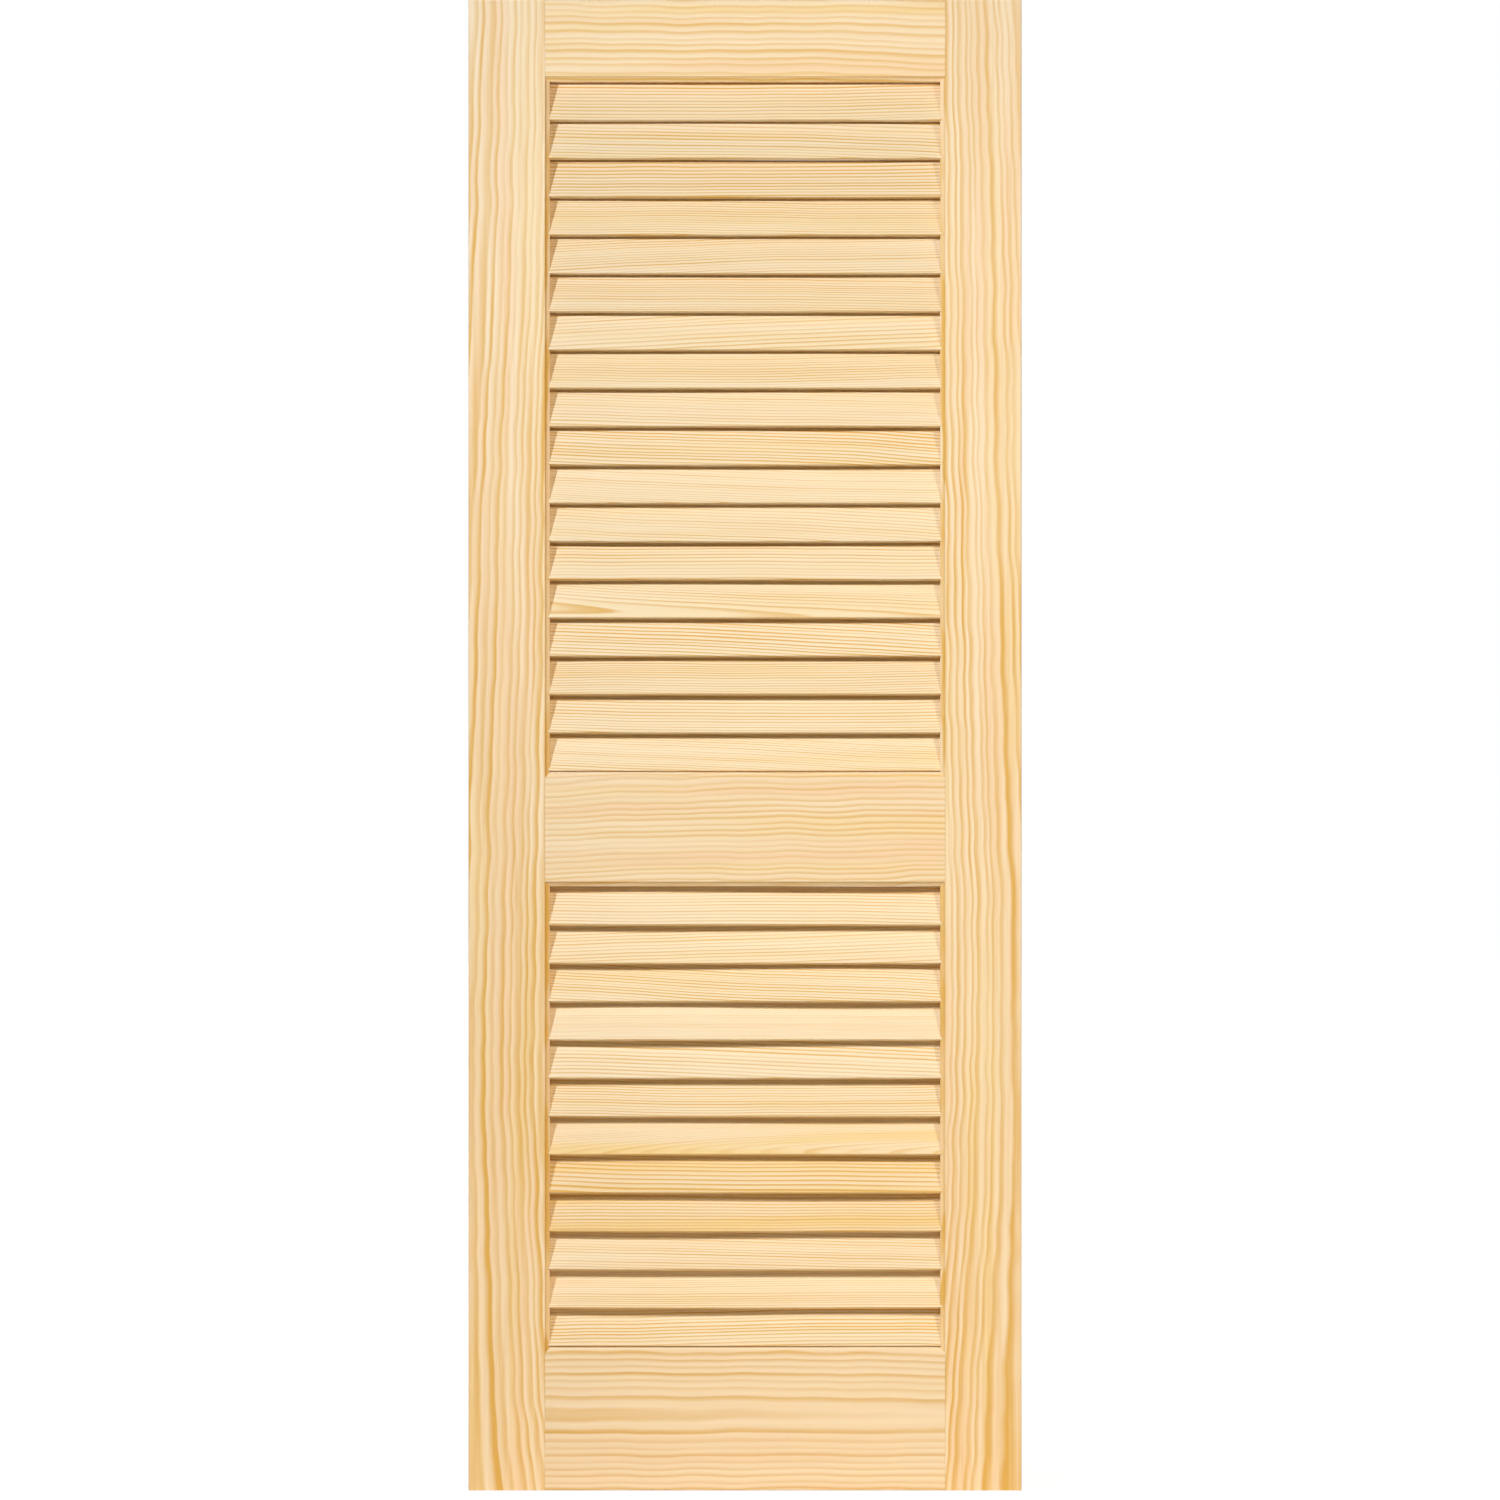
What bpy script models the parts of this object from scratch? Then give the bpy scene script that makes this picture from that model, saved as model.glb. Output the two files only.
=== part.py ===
# Louvred pine door: two stiles, three rails, fixed sloping slats and blind dowels.
# Metres, +Z up. The front faces -Y, and the origin is under the middle of the door, at its foot.

import math

import bmesh
import bpy
from mathutils import Matrix, Vector

# The leaf
DOOR_WIDTH = 0.754
DOOR_THICKNESS = 0.035
STILE_WIDTH = 0.1105  # from the outer edge to the edge of the openings
TOP_RAIL_HEIGHT = 0.1105
MID_RAIL_HEIGHT = 0.1554
BOTTOM_RAIL_HEIGHT = 0.1943
ARRIS = 0.0008  # chamfer along the outer edges

# The moulded edge around each opening: a cove that drops steeply from the face, then eases off
STEEP_WIDTH = 0.0016
STEEP_DEPTH = 0.0036
EASY_WIDTH = 0.0050
EASY_DEPTH = 0.0024
COVE_STEPS = 6

# The slats, low at the front and high at the back
UPPER_SLATS = 18
LOWER_SLATS = 12
SLAT_PITCH = 0.05222
SLAT_THICKNESS = 0.0075
SLAT_TILT = math.radians(19.62)  # away from upright
SLAT_SETBACK = 0.0050  # behind each face of the door
SLAT_EASE = 0.0014  # radius of the long corners
EASE_STEPS = 3
SLOT_DEPTH = 0.010  # how far the routed slots run into the stiles

# The dowels that join the rails to the stiles
DOWEL_DIAMETER = 0.012
DOWEL_LENGTH = 0.110
DOWEL_CHAMFER = 0.0015
DOWEL_SIDES = 16
RIM_ANGLE = math.radians(60)  # a dowel's edges that turn more than this are its rims
SMOOTH_ANGLE = math.radians(30)
DOWEL_EDGE = 0.030  # from a rail's edge to the axis of its nearest dowel
DOWEL_END_ROOM = 0.002  # glue room at the bottom of each hole
TOP_RAIL_DOWELS = 2
MID_RAIL_DOWELS = 2
BOTTOM_RAIL_DOWELS = 3

FIT = 0.0003  # clearance between pieces that meet
CUT_OVERRUN = 0.010  # how far a cutter runs past the surface that it opens

# Worked out from the sizes above
OPENING_HALF = DOOR_WIDTH / 2 - STILE_WIDTH
MOULDING_WIDTH = STEEP_WIDTH + EASY_WIDTH
MOULDING_DEPTH = STEEP_DEPTH + EASY_DEPTH
CORE_THICKNESS = SLAT_THICKNESS / 2 - SLAT_EASE
CORE_WIDTH = (DOOR_THICKNESS / 2 - SLAT_SETBACK - SLAT_EASE
              - CORE_THICKNESS * math.cos(SLAT_TILT)) / math.sin(SLAT_TILT)
SLAT_RISE = 2 * (CORE_WIDTH * math.cos(SLAT_TILT) + CORE_THICKNESS * math.sin(SLAT_TILT) + SLAT_EASE)
END_ROOM = SLAT_RISE + 2 * FIT  # the end slats reach the rails' edges
LOWER_OPENING = (LOWER_SLATS - 1) * SLAT_PITCH + END_ROOM
UPPER_OPENING = (UPPER_SLATS - 1) * SLAT_PITCH + END_ROOM
MID_RAIL_FOOT = BOTTOM_RAIL_HEIGHT + LOWER_OPENING
UPPER_FOOT = MID_RAIL_FOOT + MID_RAIL_HEIGHT
TOP_RAIL_FOOT = UPPER_FOOT + UPPER_OPENING
DOOR_HEIGHT = TOP_RAIL_FOOT + TOP_RAIL_HEIGHT

# Linear base colour and roughness of each wood
STILE_PINE = ((0.900, 0.649, 0.354), 0.55)
RAIL_PINE = ((0.908, 0.661, 0.372), 0.55)
SLAT_PINE = ((0.930, 0.700, 0.410), 0.52)
DOWEL_BEECH = ((0.720, 0.480, 0.270), 0.60)


def clear_scene():
    for thing in list(bpy.data.objects):
        bpy.data.objects.remove(thing, do_unlink=True)


def wood(name, look):
    colour, roughness = look
    material = bpy.data.materials.new(name)
    material.use_nodes = True
    shader = material.node_tree.nodes["Principled BSDF"]
    shader.inputs["Base Color"].default_value = (*colour, 1.0)
    shader.inputs["Roughness"].default_value = roughness
    shader.inputs["Metallic"].default_value = 0.0
    return material


def add_object(name, mesh, parent, material=None):
    thing = bpy.data.objects.new(name, mesh)
    bpy.context.scene.collection.objects.link(thing)
    thing.parent = parent
    if material and not mesh.materials:
        mesh.materials.append(material)
    return thing


def hide_cutter(cutter):
    cutter.hide_render = True
    cutter.display_type = 'WIRE'


def cut(thing, cutter, operation):
    boolean = thing.modifiers.new(operation.lower(), 'BOOLEAN')
    boolean.operation = operation
    boolean.solver = 'EXACT'
    boolean.object = cutter


def extrude_outline(bm, outline, travel):
    # A closed prism: the outline is a ring of points, and travel is the way it is drawn out
    cap = bm.faces.new([bm.verts.new(point) for point in outline])
    drawn = bmesh.ops.extrude_face_region(bm, geom=[cap])["geom"]
    corners = [item for item in drawn if isinstance(item, bmesh.types.BMVert)]
    bmesh.ops.translate(bm, verts=corners, vec=travel)


def finish_mesh(bm, name):
    bmesh.ops.recalc_face_normals(bm, faces=bm.faces)
    mesh = bpy.data.meshes.new(name)
    bm.to_mesh(mesh)
    bm.free()
    return mesh


def prism(name, outline, travel):
    bm = bmesh.new()
    extrude_outline(bm, outline, travel)
    return finish_mesh(bm, name)


# Edge outlines are points (in from the edge, below the face), from the face round to the edge

def plain_edge():
    return [(ARRIS, 0.0), (0.0, ARRIS)]


def cove_curve():
    # Points from the face to the edge, each with the way the curve runs there
    face = Vector((MOULDING_WIDTH, 0.0))
    turn = Vector((EASY_WIDTH, STEEP_DEPTH))
    edge = Vector((0.0, MOULDING_DEPTH))
    curve = []
    for step in range(COVE_STEPS + 1):
        share = step / COVE_STEPS
        first = face.lerp(turn, share)
        second = turn.lerp(edge, share)
        curve.append((first.lerp(second, share), (second - first).normalized()))
    return curve


def moulded_edge():
    return [tuple(point) for point, way in cove_curve()]


def coped_edge():
    # The moulded edge in reverse, one clearance away from it
    curve = cove_curve()
    moved = [point + FIT * Vector((-way.y, way.x)) for point, way in curve]
    start = curve[0][1]
    end = curve[-1][1]
    run_on = (moved[-1].x + FIT) / -end.x
    return ([(MOULDING_WIDTH - FIT / start.y, 0.0)] + [tuple(point) for point in moved[1:-1]]
            + [(-FIT, moved[-1].y + end.y * run_on)])


def both_faces(edge):
    # The edge outline from the front face round to the back face
    half = DOOR_THICKNESS / 2
    front = [(inward, depth - half) for inward, depth in edge]
    back = [(inward, half - depth) for inward, depth in reversed(edge)]
    return front + back


def bar_section(size, near_edge, far_edge):
    # Section of a stile or rail: (across the bar, through the door)
    near = both_faces(near_edge)
    far = [(size - inward, through) for inward, through in reversed(both_faces(far_edge))]
    return near + far


def slat_section(growth):
    # Rounded rectangle of a slat, grown all round for its slot
    radius = SLAT_EASE + growth
    points = []
    for quarter, (side_y, side_z) in enumerate(((1, 1), (-1, 1), (-1, -1), (1, -1))):
        for step in range(EASE_STEPS + 1):
            angle = 0.5 * math.pi * (quarter + step / EASE_STEPS)
            points.append((side_y * CORE_THICKNESS + radius * math.cos(angle),
                           side_z * CORE_WIDTH + radius * math.sin(angle)))
    return points


def slat_heights(opening_foot, count):
    lowest = opening_foot + END_ROOM / 2
    return [lowest + index * SLAT_PITCH for index in range(count)]


def dowel_heights(rail_foot, rail_height, count):
    spacing = (rail_height - 2 * DOWEL_EDGE) / max(count - 1, 1)
    return [rail_foot + DOWEL_EDGE + spacing * index for index in range(count)]


def add_slots(bm, side, heights):
    tilt = Matrix.Rotation(-SLAT_TILT, 3, 'X')
    start = side * (OPENING_HALF - CUT_OVERRUN)
    travel = (side * (CUT_OVERRUN + SLOT_DEPTH), 0.0, 0.0)
    for height in heights:
        ring = []
        for across, along in slat_section(FIT):
            turned = tilt @ Vector((start, across, along))
            ring.append((turned.x, turned.y, turned.z + height))
        extrude_outline(bm, ring, travel)


def add_dowel_holes(bm, side, heights):
    reach = DOWEL_LENGTH + 2 * DOWEL_END_ROOM
    radius = DOWEL_DIAMETER / 2 + FIT
    for height in heights:
        place = Matrix.Translation((side * OPENING_HALF, 0.0, height)) @ Matrix.Rotation(math.pi / 2, 4, 'Y')
        bmesh.ops.create_cone(bm, cap_ends=True, segments=DOWEL_SIDES, radius1=radius, radius2=radius,
                              depth=reach, matrix=place)


def add_stile(name, side, slat_rows, dowel_rows, parent, material):
    section = bar_section(STILE_WIDTH, moulded_edge(), plain_edge())
    outline = [(side * (OPENING_HALF + across), through, 0.0) for across, through in section]
    stile = add_object(name, prism(name, outline, (0.0, 0.0, DOOR_HEIGHT)), parent, material)
    bm = bmesh.new()
    add_slots(bm, side, slat_rows)
    add_dowel_holes(bm, side, dowel_rows)
    cutter = add_object(name + "_cutter", finish_mesh(bm, name + "_cutter"), parent)
    hide_cutter(cutter)
    cut(stile, cutter, 'DIFFERENCE')


def add_rail(name, foot, section, dowel_rows, parent, material):
    # The moulded bar, trimmed at both ends to the plan that fits over the stiles
    reach = OPENING_HALF + MOULDING_WIDTH + CUT_OVERRUN
    bar = [(-reach, through, foot + across) for across, through in section]
    rail = add_object(name, prism(name, bar, (2 * reach, 0.0, 0.0)), parent, material)
    height = max(across for across, through in section)
    right = [(OPENING_HALF + inward, through) for inward, through in both_faces(coped_edge())]
    left = [(-across, through) for across, through in reversed(right)]
    plan = [(across, through, foot - CUT_OVERRUN) for across, through in right + left]
    trim_mesh = prism(name + "_trim", plan, (0.0, 0.0, height + 2 * CUT_OVERRUN))
    trim = add_object(name + "_trim", trim_mesh, parent)
    hide_cutter(trim)
    cut(rail, trim, 'INTERSECT')
    bm = bmesh.new()
    for side in (-1, 1):
        add_dowel_holes(bm, side, dowel_rows)
    holes = add_object(name + "_holes", finish_mesh(bm, name + "_holes"), parent)
    hide_cutter(holes)
    cut(rail, holes, 'DIFFERENCE')


def add_slats(prefix, heights, mesh, parent, material):
    # Counted from the top of the opening
    for number, height in enumerate(reversed(heights), start=1):
        slat = add_object(f"{prefix}_slat_{number:02d}", mesh, parent, material)
        slat.location = (0.0, 0.0, height)
        slat.rotation_euler = (-SLAT_TILT, 0.0, 0.0)


def slat_mesh():
    half = OPENING_HALF + SLOT_DEPTH - FIT
    outline = [(-half, across, along) for across, along in slat_section(0.0)]
    return prism("slat", outline, (2 * half, 0.0, 0.0))


def dowel_mesh():
    bm = bmesh.new()
    bmesh.ops.create_cone(bm, cap_ends=True, segments=DOWEL_SIDES, radius1=DOWEL_DIAMETER / 2,
                          radius2=DOWEL_DIAMETER / 2, depth=DOWEL_LENGTH)
    rims = [edge for edge in bm.edges if edge.calc_face_angle() > RIM_ANGLE]
    bmesh.ops.bevel(bm, geom=rims, offset=DOWEL_CHAMFER, segments=1, affect='EDGES')
    mesh = finish_mesh(bm, "dowel")
    mesh.shade_smooth()
    mesh.set_sharp_from_angle(angle=SMOOTH_ANGLE)
    return mesh


def add_dowels(rail_name, heights, mesh, parent, material):
    for side, side_name in ((-1, "left"), (1, "right")):
        for number, height in enumerate(heights, start=1):
            dowel = add_object(f"{rail_name}_{side_name}_dowel_{number}", mesh, parent, material)
            dowel.location = (side * OPENING_HALF, 0.0, height)
            dowel.rotation_euler = (0.0, math.pi / 2, 0.0)


def build_door():
    clear_scene()
    door = bpy.data.objects.new("louvred_door", None)
    bpy.context.scene.collection.objects.link(door)

    upper_rows = slat_heights(UPPER_FOOT, UPPER_SLATS)
    lower_rows = slat_heights(BOTTOM_RAIL_HEIGHT, LOWER_SLATS)
    top_rows = dowel_heights(TOP_RAIL_FOOT, TOP_RAIL_HEIGHT, TOP_RAIL_DOWELS)
    mid_rows = dowel_heights(MID_RAIL_FOOT, MID_RAIL_HEIGHT, MID_RAIL_DOWELS)
    bottom_rows = dowel_heights(0.0, BOTTOM_RAIL_HEIGHT, BOTTOM_RAIL_DOWELS)

    stile_pine = wood("stile_pine", STILE_PINE)
    for name, side in (("left_stile", -1), ("right_stile", 1)):
        add_stile(name, side, upper_rows + lower_rows, top_rows + mid_rows + bottom_rows, door, stile_pine)

    rail_pine = wood("rail_pine", RAIL_PINE)
    top_section = bar_section(TOP_RAIL_HEIGHT, moulded_edge(), plain_edge())
    mid_section = bar_section(MID_RAIL_HEIGHT, moulded_edge(), moulded_edge())
    bottom_section = bar_section(BOTTOM_RAIL_HEIGHT, plain_edge(), moulded_edge())
    add_rail("top_rail", TOP_RAIL_FOOT, top_section, top_rows, door, rail_pine)
    add_rail("mid_rail", MID_RAIL_FOOT, mid_section, mid_rows, door, rail_pine)
    add_rail("bottom_rail", 0.0, bottom_section, bottom_rows, door, rail_pine)

    slat_pine = wood("slat_pine", SLAT_PINE)
    slat = slat_mesh()
    add_slats("upper", upper_rows, slat, door, slat_pine)
    add_slats("lower", lower_rows, slat, door, slat_pine)

    dowel_beech = wood("dowel_beech", DOWEL_BEECH)
    dowel = dowel_mesh()
    add_dowels("top_rail", top_rows, dowel, door, dowel_beech)
    add_dowels("mid_rail", mid_rows, dowel, door, dowel_beech)
    add_dowels("bottom_rail", bottom_rows, dowel, door, dowel_beech)


build_door()
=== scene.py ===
# Bare pine louvred door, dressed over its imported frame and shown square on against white
import math
import random

import bmesh
import bpy
from mathutils import Matrix, Vector


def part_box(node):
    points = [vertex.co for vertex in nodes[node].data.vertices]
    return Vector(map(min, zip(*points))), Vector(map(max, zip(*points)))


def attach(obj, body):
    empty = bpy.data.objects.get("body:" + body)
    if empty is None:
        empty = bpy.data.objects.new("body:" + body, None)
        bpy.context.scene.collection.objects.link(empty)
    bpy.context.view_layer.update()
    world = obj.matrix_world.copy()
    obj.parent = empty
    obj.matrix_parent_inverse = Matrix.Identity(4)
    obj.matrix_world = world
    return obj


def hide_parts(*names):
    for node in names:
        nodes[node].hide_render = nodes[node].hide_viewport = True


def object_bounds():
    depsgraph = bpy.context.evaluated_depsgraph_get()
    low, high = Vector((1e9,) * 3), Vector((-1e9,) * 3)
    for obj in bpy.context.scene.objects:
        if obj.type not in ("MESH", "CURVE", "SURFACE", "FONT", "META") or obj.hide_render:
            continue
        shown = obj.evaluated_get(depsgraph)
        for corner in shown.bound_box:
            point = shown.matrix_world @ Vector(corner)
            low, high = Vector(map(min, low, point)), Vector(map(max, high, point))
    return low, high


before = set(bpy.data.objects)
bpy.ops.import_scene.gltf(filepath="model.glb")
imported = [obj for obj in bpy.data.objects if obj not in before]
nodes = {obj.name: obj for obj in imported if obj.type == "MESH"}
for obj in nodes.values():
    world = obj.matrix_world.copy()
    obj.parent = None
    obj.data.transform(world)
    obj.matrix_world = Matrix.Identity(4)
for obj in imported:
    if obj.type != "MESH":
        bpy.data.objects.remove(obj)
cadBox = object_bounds()
print("frame:", len(nodes), "nodes")

bpy.context.scene.view_settings.view_transform = 'Standard'


# shader wiring

class Wire:
    # a node's output socket that can be used in Python sums
    def __init__(self, socket):
        self.socket = socket

    def node(self, kind, settings=None, sockets=None, output=0):
        tree = self.socket.id_data
        made = tree.nodes.new(kind)
        for name, value in (settings or {}).items():
            if name == 'stops':
                setStops(made.color_ramp, value)
            else:
                setattr(made, name, value)
        for name, value in (sockets or {}).items():
            if isinstance(value, Wire):
                tree.links.new(value.socket, made.inputs[name])
            else:
                made.inputs[name].default_value = value
        return Wire(made.outputs[output])

    def maths(self, operation, *values):
        return self.node('ShaderNodeMath', {'operation': operation}, dict(enumerate(values)))

    def vectors(self, operation, *values, output=0):
        return self.node('ShaderNodeVectorMath', {'operation': operation}, dict(enumerate(values)), output)

    def __add__(self, other):
        return self.maths('ADD', self, other)

    def __sub__(self, other):
        return self.maths('SUBTRACT', self, other)

    def __rsub__(self, other):
        return self.maths('SUBTRACT', other, self)

    def __mul__(self, other):
        return self.maths('MULTIPLY', self, other)

    def __truediv__(self, other):
        return self.maths('DIVIDE', self, other)

    def __rtruediv__(self, other):
        return self.maths('DIVIDE', other, self)

    def __pow__(self, other):
        return self.maths('POWER', self, other)

    __radd__ = __add__
    __rmul__ = __mul__


def setStops(ramp, stops):
    ramp.interpolation = 'EASE'
    while len(ramp.elements) < len(stops):
        ramp.elements.new(0.5)    # moved to its place below
    for element, (place, level) in zip(ramp.elements, stops):
        element.position = place
        element.color = (level, level, level, 1)


def mixColours(factor, first, second, blend='MIX'):
    settings = {'data_type': 'RGBA', 'blend_type': blend}
    wired = next(value for value in (factor, first, second) if isinstance(value, Wire))
    return wired.node('ShaderNodeMix', settings, {0: factor, 6: first, 7: second}, 2)


def startMaterial(name):
    material = bpy.data.materials.new(name)
    material.use_nodes = True
    shader = material.node_tree.nodes["Principled BSDF"]
    coords = material.node_tree.nodes.new('ShaderNodeTexCoord')
    return material, shader, coords


def link(wire, shader, socket):
    wire.socket.id_data.links.new(wire.socket, shader.inputs[socket])


# pine: growth rings round a pith line that wanders, cut through by the board's own faces

noiseMiddle = 0.5
pineLook = {
    'cream': (0.965, 0.768, 0.520, 1),    # pale spring wood
    'pink': (0.955, 0.680, 0.430, 1),     # its pinker streaks
    'yellow': (0.945, 0.700, 0.335, 1),   # its yellower ones
    'late': (0.760, 0.430, 0.095, 1),     # amber summer wood
    'pinkTurn': (0.45, 0.70), 'yellowTurn': (0.42, 0.68),    # noise levels where a streak starts and fills
    'lateStart': 0.10, 'lateShoulder': 0.85, 'lateRise': 0.10,    # how a ring darkens towards its summer wood
    'ringLeast': 0.4, 'ringVary': 0.6, 'unevenRate': 55.0, 'unevenDetail': 1.0,    # ring by ring
    'fadeLeast': 0.35, 'fadeVary': 1.3,    # along a ring
    'footHeight': 0.6,    # the log sweeps out below this height
    'flatTurn': (0.70, 0.97), 'endTurn': (0.5, 0.9),    # how square a normal is to a face or to an end
    'endTone': 0.80, 'fibre': 0.10,
    'roughness': 0.52, 'lateShine': 0.10, 'fibreRough': 0.1, 'specular': 0.30,
    'bumpHeight': 0.00012, 'bumpStrength': 0.5, 'bumpLate': 0.6, 'bumpFibre': 0.7,
    # each figure's rates along and across the board, per metre, and where its noise starts;
    # a rate that is missing here is the board's own
    'grain': {
        'bend': {'along': 1.3, 'cross': 2.0, 'start': 3.1, 'detail': 1.0, 'roughness': 0.5},
        'ripple': {'cross': 9.0, 'start': 11.7, 'detail': 0.6, 'roughness': 0.5},
        'fade': {'cross': 20.0, 'start': 8.2, 'detail': 2.0, 'roughness': 0.5},
        'streak': {'along': 2.6, 'start': 17.9, 'detail': 3.0, 'roughness': 0.5},
        'fibre': {'along': 14.0, 'cross': 700.0, 'start': 5.3, 'detail': 3.0, 'roughness': 0.6},
        'yellow': {'along': 1.4, 'cross': 45.0, 'start': 21.0, 'detail': 2.0, 'roughness': 0.5},
        'pink': {'along': 1.8, 'cross': 38.0, 'start': 33.0, 'detail': 2.0, 'roughness': 0.5},
    },
}


def noise(point, detail, roughness):
    sockets = {'Vector': point, 'Scale': 1.0, 'Detail': detail, 'Roughness': roughness}
    return point.node('ShaderNodeTexNoise', {'noise_dimensions': '3D'}, sockets)


def spread(value, low, high):
    return value.node('ShaderNodeMapRange', {'interpolation_type': 'SMOOTHSTEP'}, {0: value, 1: low, 2: high})


def pine(name, axes, board):
    # axes: which of x, y, z run along, across and through the board
    material, shader, coords = startMaterial(name)
    place = Wire(coords.outputs['Object'])

    def parts(vector):
        pieces = vector.node('ShaderNodeSeparateXYZ', {}, {0: vector}).socket.node.outputs
        return [Wire(pieces['XYZ'.index(axis)]) for axis in axes]

    along, across, through = parts(place)

    def grain(figure, **rates):
        look = {**pineLook['grain'][figure], **rates}
        lengthwise = along * look['along'] + (board['seed'] + look['start'])
        sockets = {0: lengthwise, 1: across * look['cross'], 2: through * look['cross']}
        return noise(place.node('ShaderNodeCombineXYZ', {}, sockets), look['detail'], look['roughness'])

    # the log bends slowly, sweeps at its foot, and its rings ripple together over a few centimetres
    bend = grain('bend') - noiseMiddle
    ripple = grain('ripple', along=board['rippleRate']) - noiseMiddle
    foot = along.maths('MAXIMUM', pineLook['footHeight'] - along, 0.0)
    u = across - board['pithAcross'] + along * board['slope'] + foot * foot * board['sweep']
    u = u + bend * board['bend'] + ripple * board['ripple']
    v = through - board['pithThrough'] + along * board['dive']
    radius = (u * u + v * v) ** 0.5
    # rings of uneven width and strength
    outward = radius * pineLook['unevenRate'] + board['seed']
    sockets = {'W': outward, 'Scale': 1.0, 'Detail': pineLook['unevenDetail']}
    uneven = radius.node('ShaderNodeTexNoise', {'noise_dimensions': '1D'}, sockets)
    ring = radius / board['ringWidth'] + uneven * board['uneven'] + board['phase']
    phase = ring.maths('FRACT', ring)
    sockets = {'W': ring.maths('FLOOR', ring) + board['seed']}
    pick = ring.node('ShaderNodeTexWhiteNoise', {'noise_dimensions': '1D'}, sockets)
    shoulder = board['latePeak'] - pineLook['lateRise']
    stops = [(0.0, 0.0), (board['lateFrom'], pineLook['lateStart']), (shoulder, pineLook['lateShoulder']),
             (board['latePeak'], 1.0), (1.0, 0.0)]
    band = phase.node('ShaderNodeValToRGB', {'stops': stops}, {0: phase})
    fade = grain('fade', along=board['fadeRate'])
    streak = grain('streak', cross=board['streakRate']) - noiseMiddle
    strength = pick * pineLook['ringVary'] + pineLook['ringLeast']
    faded = fade * pineLook['fadeVary'] + pineLook['fadeLeast']
    contrast = board['contrast'] - along * board['contrastFall']
    late = band * strength * faded * contrast + streak * board['streak']
    # faces turned away from the board's face are made darker and more amber: partly wood cut across its
    # rings, partly painted shade on the mouldings and rounded edges
    normal = parts(Wire(coords.outputs['Normal']))
    flatness = spread(normal[2].maths('ABSOLUTE', normal[2]), *pineLook['flatTurn'])
    late = late + (board['amber'] - along * board['amberFall']) + (1.0 - flatness) * board['routed']
    late = late.maths('MINIMUM', late.maths('MAXIMUM', late, 0.0), 1.0)
    # tints and fibres
    fibre = grain('fibre')
    yellow = spread(grain('yellow'), *pineLook['yellowTurn'])
    yellow = yellow * (board['yellow'] - along * board['yellowFall'])
    pink = spread(grain('pink'), *pineLook['pinkTurn']) * board['pink']
    cream = board.get('cream', pineLook['cream'])
    early = mixColours(pink, mixColours(yellow, cream, pineLook['yellow']), pineLook['pink'])
    colour = mixColours(late, early, pineLook['late'])
    endShare = spread(normal[0].maths('ABSOLUTE', normal[0]), *pineLook['endTurn'])
    tone = (1.0 + pineLook['fibre'] * (noiseMiddle - fibre)) * board['tone']
    tone = tone * (1.0 - endShare * (1.0 - pineLook['endTone']))
    grey = tone.node('ShaderNodeCombineColor', {}, {0: tone, 1: tone, 2: tone})
    link(mixColours(1.0, colour, grey, 'MULTIPLY'), shader, 'Base Color')
    rough = pineLook['roughness'] - late * pineLook['lateShine']
    link(rough + (fibre - noiseMiddle) * pineLook['fibreRough'], shader, 'Roughness')
    height = late * pineLook['bumpLate'] + fibre * pineLook['bumpFibre']
    sockets = {'Height': height, 'Strength': pineLook['bumpStrength'], 'Distance': pineLook['bumpHeight']}
    link(height.node('ShaderNodeBump', {}, sockets), shader, 'Normal')
    shader.inputs['Specular IOR Level'].default_value = pineLook['specular']
    return material


# stiles and rails keep their solids; lengths are in metres, and each Fall is for a metre up the board

stileWood = {
    'pithThrough': 0.105, 'slope': 0.0, 'dive': 0.022,    # how the log's pith runs past the board
    'bend': 0.05, 'ripple': 0.0080, 'rippleRate': 17.0,
    'ringWidth': 0.0078, 'uneven': 1.2, 'phase': 0.0,
    'lateFrom': 0.20, 'latePeak': 0.74, 'contrast': 1.08, 'contrastFall': 0.12, 'fadeRate': 3.0,
    'streakRate': 150.0, 'streak': 1.0, 'amber': 0.16, 'amberFall': 0.08, 'routed': 0.45,
    'yellow': 0.9, 'yellowFall': 0.33, 'pink': 0.75, 'tone': 0.98,
}
stileBoards = {
    'left_stile': {'seed': 2.0, 'pithAcross': -0.425, 'sweep': -0.10},
    'right_stile': {'seed': 9.0, 'pithAcross': 0.425, 'sweep': 0.10, 'tone': 0.955},
}
railWood = {
    'dive': 0.0, 'sweep': 0.0,
    'bend': 0.03, 'ripple': 0.0095, 'rippleRate': 13.0,
    'ringWidth': 0.0082, 'uneven': 0.8, 'phase': 0.0,
    'lateFrom': 0.30, 'latePeak': 0.78, 'contrast': 0.62, 'contrastFall': 0.0, 'fadeRate': 2.4,
    'streakRate': 130.0, 'streak': 0.30, 'amber': 0.03, 'amberFall': 0.0, 'routed': 0.15,
    'yellow': 0.5, 'yellowFall': 0.0, 'pink': 0.9, 'tone': 1.0,
}
railBoards = {
    'top_rail': {'seed': 31.0, 'pithAcross': 1.80, 'pithThrough': 0.09, 'slope': 0.012, 'contrast': 0.75,
                 'amber': 0.12, 'yellow': 0.8},
    'mid_rail': {'seed': 47.0, 'pithAcross': 1.08, 'pithThrough': 0.08, 'slope': -0.028,
                 'ringWidth': 0.0068, 'tone': 0.95},
    # the pith runs inside this one, which gives it a broad plain band
    'bottom_rail': {'seed': 58.0, 'pithAcross': 0.1043, 'pithThrough': 0.010, 'slope': 0.0, 'bend': 0.025,
                    'ripple': 0.0085, 'ringWidth': 0.0088, 'uneven': 0.35, 'contrast': 0.78, 'phase': 0.50,
                    'dive': -0.004, 'yellow': 0.1, 'pink': 0.45, 'tone': 0.905},
}
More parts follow.
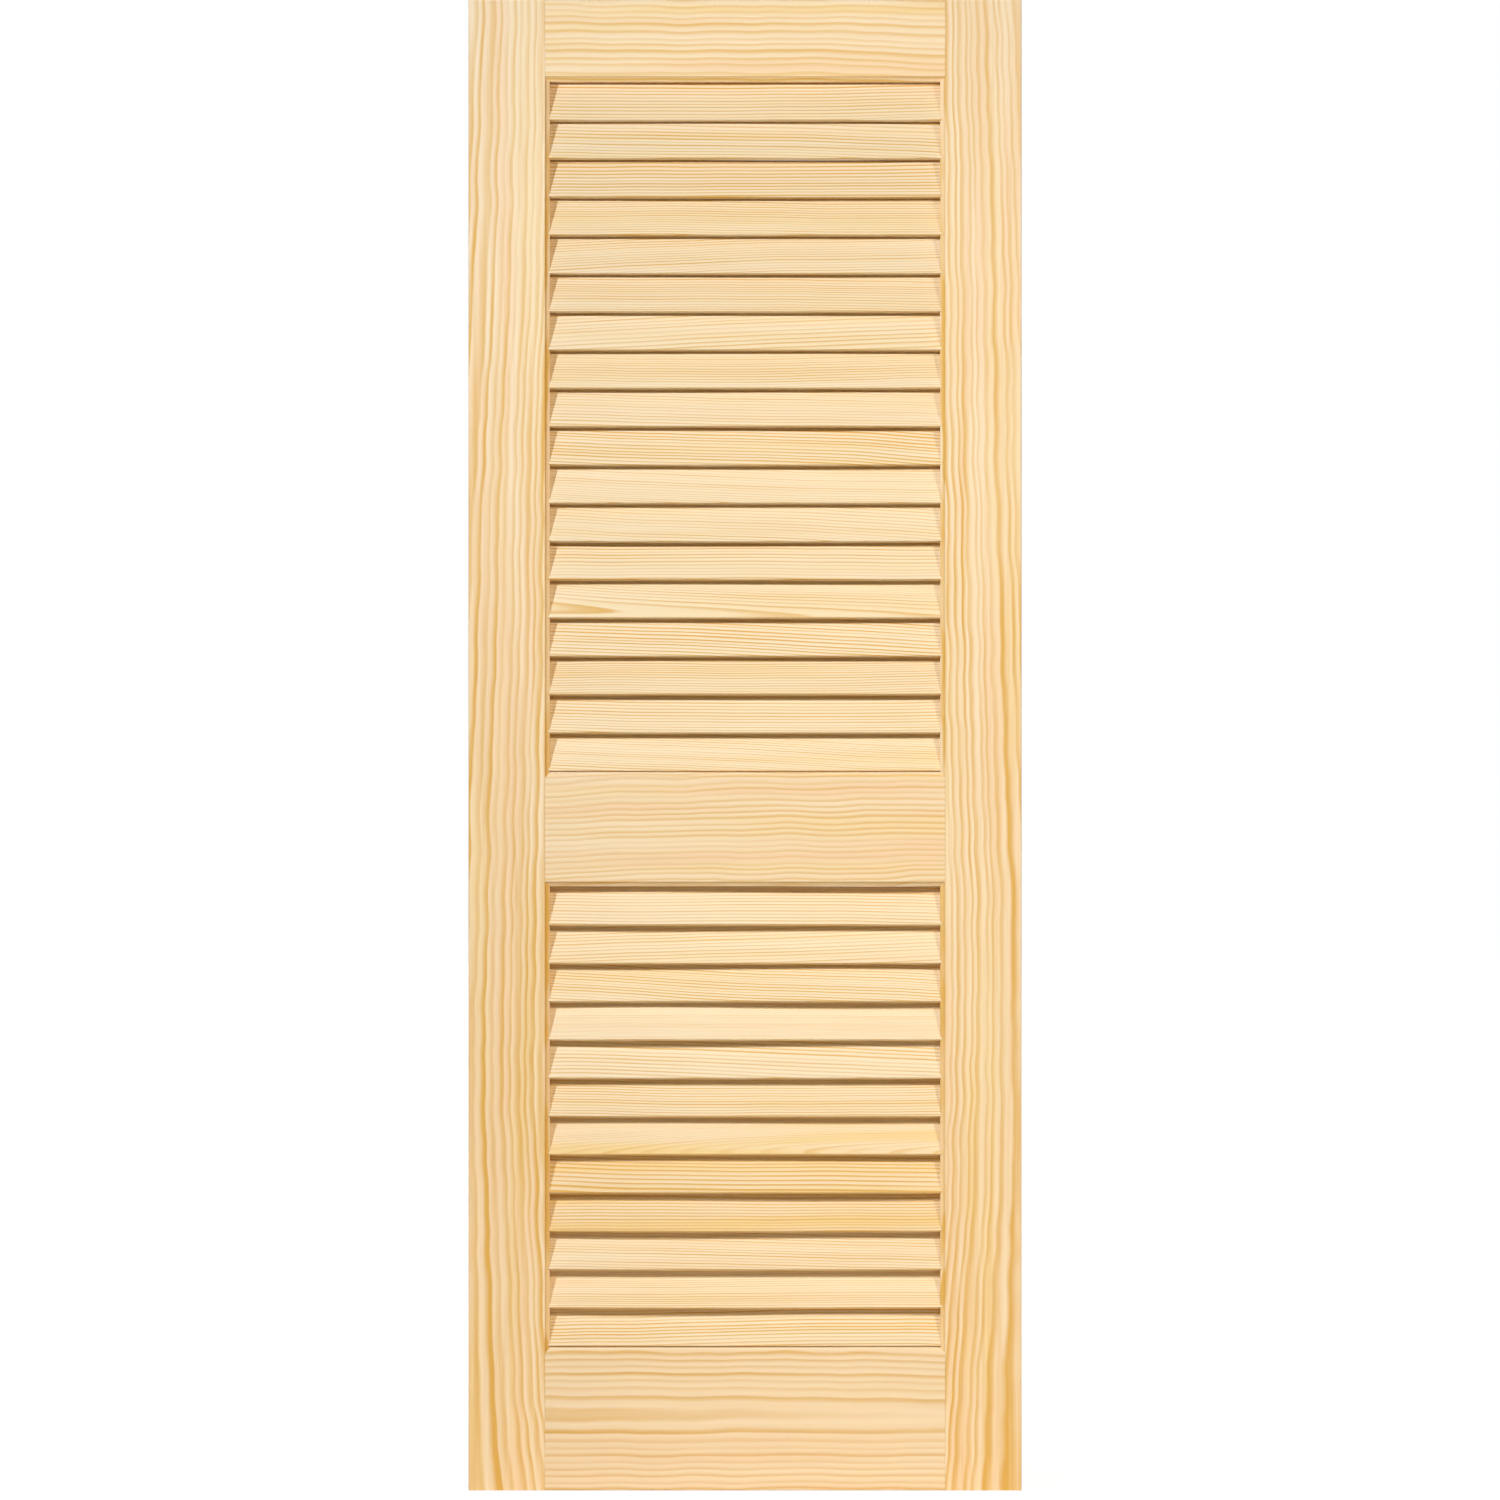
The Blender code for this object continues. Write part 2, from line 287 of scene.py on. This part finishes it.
solidShading = {'weld': 0.00001, 'smoothAngle': math.radians(32)}


def dressSolid(name, material):
    node = nodes[name]
    node.data.materials.clear()
    node.data.materials.append(material)
    for layer in ('custom_normal', 'sharp_face', 'sharp_edge'):
        if layer in node.data.attributes:
            node.data.attributes.remove(node.data.attributes[layer])
    weld = node.modifiers.new('weld', 'WELD')
    weld.merge_threshold = solidShading['weld']
    split = node.modifiers.new('arris', 'EDGE_SPLIT')
    split.split_angle = solidShading['smoothAngle']


for name, board in stileBoards.items():
    dressSolid(name, pine(name + "Pine", 'ZXY', {**stileWood, **board}))
for name, board in railBoards.items():
    dressSolid(name, pine(name + "Pine", 'XZY', {**railWood, **board}))
print("stiles and rails dressed")


# slats, each a little bowed and warped between its slots

slatLook = {
    'tilt': math.radians(19.62), 'thickness': 0.0075, 'ease': 0.0014, 'easeSteps': 5, 'lengths': 28,
    'smoothAngle': math.radians(50), 'bow': 0.0012, 'crook': 0.0004, 'seed': 11,
    'warp': {'upper': 0.0010, 'lower': 0.0022},    # how far the back edges wander, more in the lower slats
    # the end slats lean on the rails
    'snug': {'upper_slat_01': 0.00027, 'upper_slat_18': -0.00027,
             'lower_slat_01': 0.00027, 'lower_slat_12': -0.00027},
}


def slatPiece(node, draw):
    low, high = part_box(node)
    middle = (low + high) / 2
    halfLength = (high.x - low.x) / 2
    radius = slatLook['ease']
    coreThick = slatLook['thickness'] / 2 - radius
    tilt = slatLook['tilt']
    coreWide = ((high.y - low.y) / 2 - radius - coreThick * math.cos(tilt)) / math.sin(tilt)
    bow = draw.uniform(-1, 1) * slatLook['bow']
    crook = draw.uniform(-1, 1) * slatLook['crook']
    if node in slatLook['snug']:
        bow, crook = 0.0, slatLook['snug'][node]
    warp = random.Random(node).uniform(-1, 1) * slatLook['warp'][node.split('_')[0]]
    bm = bmesh.new()
    rings = []
    for step in range(slatLook['lengths'] + 1):
        share = step / slatLook['lengths']
        belly = math.sin(math.pi * share)
        wander = math.sin(2 * math.pi * share) * warp
        ring = []
        for quarter, (sideY, sideZ) in enumerate(((1, 1), (-1, 1), (-1, -1), (1, -1))):
            shift = bow * belly + wander * (1 + sideZ) / 2    # only the back edge, the upper one, wanders
            for corner in range(slatLook['easeSteps'] + 1):
                angle = 0.5 * math.pi * (quarter + corner / slatLook['easeSteps'])
                ring.append(bm.verts.new((halfLength * (2 * share - 1),
                                          sideY * coreThick + radius * math.cos(angle) + shift,
                                          sideZ * coreWide + radius * math.sin(angle) + crook * belly)))
        rings.append(ring)
    for first, second in zip(rings, rings[1:]):
        for here in range(len(first)):
            after = (here + 1) % len(first)
            bm.faces.new((first[here], first[after], second[after], second[here]))
    bm.faces.new(rings[0])
    bm.faces.new(rings[-1])
    bmesh.ops.recalc_face_normals(bm, faces=bm.faces)
    mesh = bpy.data.meshes.new(node + "Wood")
    bm.to_mesh(mesh)
    bm.free()
    mesh.shade_smooth()
    mesh.set_sharp_from_angle(angle=slatLook['smoothAngle'])
    piece = bpy.data.objects.new(node + "_wood", mesh)
    bpy.context.scene.collection.objects.link(piece)
    piece.matrix_world = Matrix.Translation(middle) @ Matrix.Rotation(-tilt, 4, 'X')
    return piece


slatWood = {
    'cream': (0.960, 0.790, 0.550, 1), 'sweep': 0.0,
    'bend': 0.036, 'ripple': 0.0034, 'rippleRate': 9.0,
    'uneven': 0.9, 'phase': 0.0,
    'lateFrom': 0.46, 'latePeak': 0.88, 'contrastFall': 0.0, 'fadeRate': 3.0,
    'streakRate': 190.0, 'streak': 0.32, 'amber': 0.0, 'amberFall': 0.0, 'routed': 0.12,
    'yellowFall': 0.0,
}
slatDraws = {
    'flatShare': 0.12, 'flatContrast': 0.7, 'flatRings': 0.55,    # finer, fainter rings in slats cut flat
    'flatPith': (0.02, 0.05), 'flatDive': (-0.03, 0.03), 'pith': (0.06, 0.16), 'dive': (-0.015, 0.015),
    'seed': (0, 400), 'pithThrough': (0.03, 0.07), 'ringWidth': (0.0028, 0.0046), 'slope': (-0.045, 0.045),
    'contrast': (0.9, 1.5), 'tone': (0.905, 0.94), 'yellow': (0.0, 0.5), 'pink': (0.0, 0.45),
}
amberSlats = {
    'tint': {'yellow': 1.0, 'pink': 0.2},
    'amber': {'lower_slat_07': 0.12, 'lower_slat_08': 0.15, 'lower_slat_09': 0.14},
}


def slatBoard(node, draw):
    flat = draw.random() < slatDraws['flatShare']
    offset = draw.uniform(*slatDraws['flatPith' if flat else 'pith'])
    dive = draw.uniform(*slatDraws['flatDive' if flat else 'dive'])
    board = {**slatWood, 'dive': dive, 'seed': draw.uniform(*slatDraws['seed'])}
    board['pithAcross'] = draw.choice((-1, 1)) * offset
    for key in ('pithThrough', 'ringWidth', 'slope', 'contrast', 'tone', 'yellow', 'pink'):
        board[key] = draw.uniform(*slatDraws[key])
    if flat:
        board['contrast'] *= slatDraws['flatContrast']
        board['ringWidth'] *= slatDraws['flatRings']
    if node in amberSlats['amber']:
        board.update(amberSlats['tint'], amber=amberSlats['amber'][node])
    return board


draw = random.Random(slatLook['seed'])
for node in sorted(name for name in nodes if "_slat_" in name):
    piece = slatPiece(node, draw)
    piece.data.materials.append(pine(node + "Pine", 'XZY', slatBoard(node, draw)))
    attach(piece, "root")
    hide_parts(node)
print("slats made")


# dowels, sealed in their holes

dowelLook = {
    'colour': (0.70, 0.47, 0.27, 1), 'dark': (0.58, 0.36, 0.19, 1),
    'fleck': (29.0, 240.0, 240.0), 'fleckDetail': 3.0, 'fleckRough': 0.6,
    'roughness': 0.6, 'roughVary': 0.2,
}


def beech():
    material, shader, coords = startMaterial("dowelBeech")
    place = Wire(coords.outputs['Object'])
    point = place.vectors('MULTIPLY', place, dowelLook['fleck'])
    fleck = noise(point, dowelLook['fleckDetail'], dowelLook['fleckRough'])
    link(mixColours(fleck, dowelLook['dark'], dowelLook['colour']), shader, 'Base Color')
    link(dowelLook['roughness'] + (fleck - noiseMiddle) * dowelLook['roughVary'], shader, 'Roughness')
    return material


beechWood = beech()
for name in sorted(name for name in nodes if "_dowel_" in name):
    dressSolid(name, beechWood)
print("dowels dressed")


# floor, backdrop and light

stageLook = {
    'floorSize': 40.0, 'floorDrop': 0.0005,
    # the floor as it is seen
    'floorColour': (0.86, 0.86, 0.86, 1), 'glow': 1.14, 'shadowShare': 0.2, 'shadowReach': 1.6,
    # the floor as it lights the door
    'nearBounce': (0.90, 0.80, 0.64, 1), 'farBounce': (0.06, 0.06, 0.06, 1),
    'bounceFrom': 0.3, 'bounceReach': 2.2,
    # the room round it
    'roomColour': (1.0, 0.76, 0.42, 1), 'worldLight': 0.045,
}


def whiteToView(tree):
    path = Wire(tree.nodes.new('ShaderNodeLightPath').outputs['Is Camera Ray'])
    ways = path.socket.node.outputs
    seen = path.maths('MAXIMUM', path, Wire(ways['Is Glossy Ray']))
    return seen.maths('MAXIMUM', seen, Wire(ways['Is Transmission Ray']))


def makeFloor():
    bm = bmesh.new()
    bmesh.ops.create_grid(bm, x_segments=1, y_segments=1, size=stageLook['floorSize'] / 2)
    mesh = bpy.data.meshes.new("floor")
    bm.to_mesh(mesh)
    bm.free()
    floor = bpy.data.objects.new("floor", mesh)
    floor.location.z = -stageLook['floorDrop']
    bpy.context.scene.collection.objects.link(floor)
    material = bpy.data.materials.new("floorPaper")
    material.use_nodes = True
    tree = material.node_tree
    tree.nodes.clear()
    seen = whiteToView(tree)
    paper = seen.node('ShaderNodeBsdfDiffuse', {}, {'Color': stageLook['floorColour']})
    nearBounce = seen.node('ShaderNodeBsdfDiffuse', {}, {'Color': stageLook['nearBounce']})
    farBounce = seen.node('ShaderNodeBsdfDiffuse', {}, {'Color': stageLook['farBounce']})
    glow = seen.node('ShaderNodeEmission', {}, {'Strength': stageLook['glow']})
    place = Wire(tree.nodes.new('ShaderNodeTexCoord').outputs['Object'])
    distance = place.vectors('LENGTH', place, output=1)
    far = spread(distance, 0.0, stageLook['shadowReach'])
    fade = spread(distance, stageLook['bounceFrom'], stageLook['bounceReach'])
    bounce = seen.node('ShaderNodeMixShader', {}, {0: fade, 1: nearBounce, 2: farBounce})
    shade = (1.0 - far) * stageLook['shadowShare']
    shown = seen.node('ShaderNodeMixShader', {}, {0: shade, 1: glow, 2: paper})
    both = seen.node('ShaderNodeMixShader', {}, {0: seen, 1: bounce, 2: shown})
    out = tree.nodes.new('ShaderNodeOutputMaterial')
    tree.links.new(both.socket, out.inputs['Surface'])
    mesh.materials.append(material)


def makeWorld():
    world = bpy.data.worlds.new("studio")
    bpy.context.scene.world = world
    world.use_nodes = True
    tree = world.node_tree
    tree.nodes.clear()
    seen = whiteToView(tree)
    sockets = {'Color': stageLook['roomColour'], 'Strength': stageLook['worldLight']}
    room = seen.node('ShaderNodeBackground', {}, sockets)
    white = seen.node('ShaderNodeBackground', {}, {'Color': (1, 1, 1, 1), 'Strength': 1.0})
    both = seen.node('ShaderNodeMixShader', {}, {0: seen, 1: room, 2: white})
    out = tree.nodes.new('ShaderNodeOutputWorld')
    tree.links.new(both.socket, out.inputs['Surface'])


# cool light from the left, warmer light in its shade, and a low lamp that shows the back
coolLight = (0.87, 1.0, 1.18)
warmLight = (1.12, 1.0, 0.79)
lampLook = {
    'key': {'place': (-1.75, -2.1, 2.26), 'aim': (2.27, -2.88, 1.35), 'size': 0.16, 'level': 0.665,
            'spread': 178, 'colour': coolLight},
    'foot': {'place': (-2.35, -3.0, 2.26), 'aim': (0.36, -2.99, -3.17), 'size': 0.3, 'level': 0.24,
             'spread': 114.7, 'colour': coolLight},
    'fill': {'place': (1.75, -2.3, 2.24), 'aim': (-0.35, -0.78, -3.01), 'size': 0.24, 'level': 0.142,
             'spread': 170.9, 'colour': warmLight},
    'front': {'place': (0.2, -2.6, 2.24), 'aim': (0.05, -0.72, 0.35), 'size': 0.36, 'level': 0.235,
              'spread': 169.1, 'colour': warmLight},
    'behind': {'place': (0.2, 2.0, 0.22), 'aim': (0, 0, 0.8), 'size': 0.36, 'level': 0.30,
               'spread': 180, 'colour': (1.12, 1.0, 0.66)},
}


def makeLamp(name, look):
    # level is about the share of a colour that the lamp alone brings back from a face turned to it
    data = bpy.data.lights.new(name, 'AREA')
    data.shape = 'DISK'
    data.size = look['size']
    data.spread = math.radians(look['spread'])
    data.color = look['colour']
    lamp = bpy.data.objects.new(name, data)
    bpy.context.scene.collection.objects.link(lamp)
    lamp.location = look['place']
    away = lamp.location - Vector(look['aim'])
    lamp.rotation_euler = away.to_track_quat('Z', 'Y').to_euler()
    half = data.spread / 2
    data.energy = look['level'] * math.pi ** 2 * away.length_squared * (1 - half / math.tan(half))


makeFloor()
makeWorld()
for name, look in lampLook.items():
    makeLamp(name, look)
print("stage set")


# the camera stands square on, a long way off

viewLook = {'away': 8.0, 'sensor': 36.0, 'frameWidth': 2.045, 'centreX': 0.0068, 'centreZ': 1.0095}


def makeCamera():
    data = bpy.data.cameras.new("camera")
    data.sensor_width = viewLook['sensor']
    data.lens = data.sensor_width * viewLook['away'] / viewLook['frameWidth']
    camera = bpy.data.objects.new("camera", data)
    camera.location = (viewLook['centreX'], cadBox[0].y - viewLook['away'], viewLook['centreZ'])
    camera.rotation_euler = (math.pi / 2, 0, 0)
    bpy.context.scene.collection.objects.link(camera)
    bpy.context.scene.camera = camera


makeCamera()
print("camera placed")
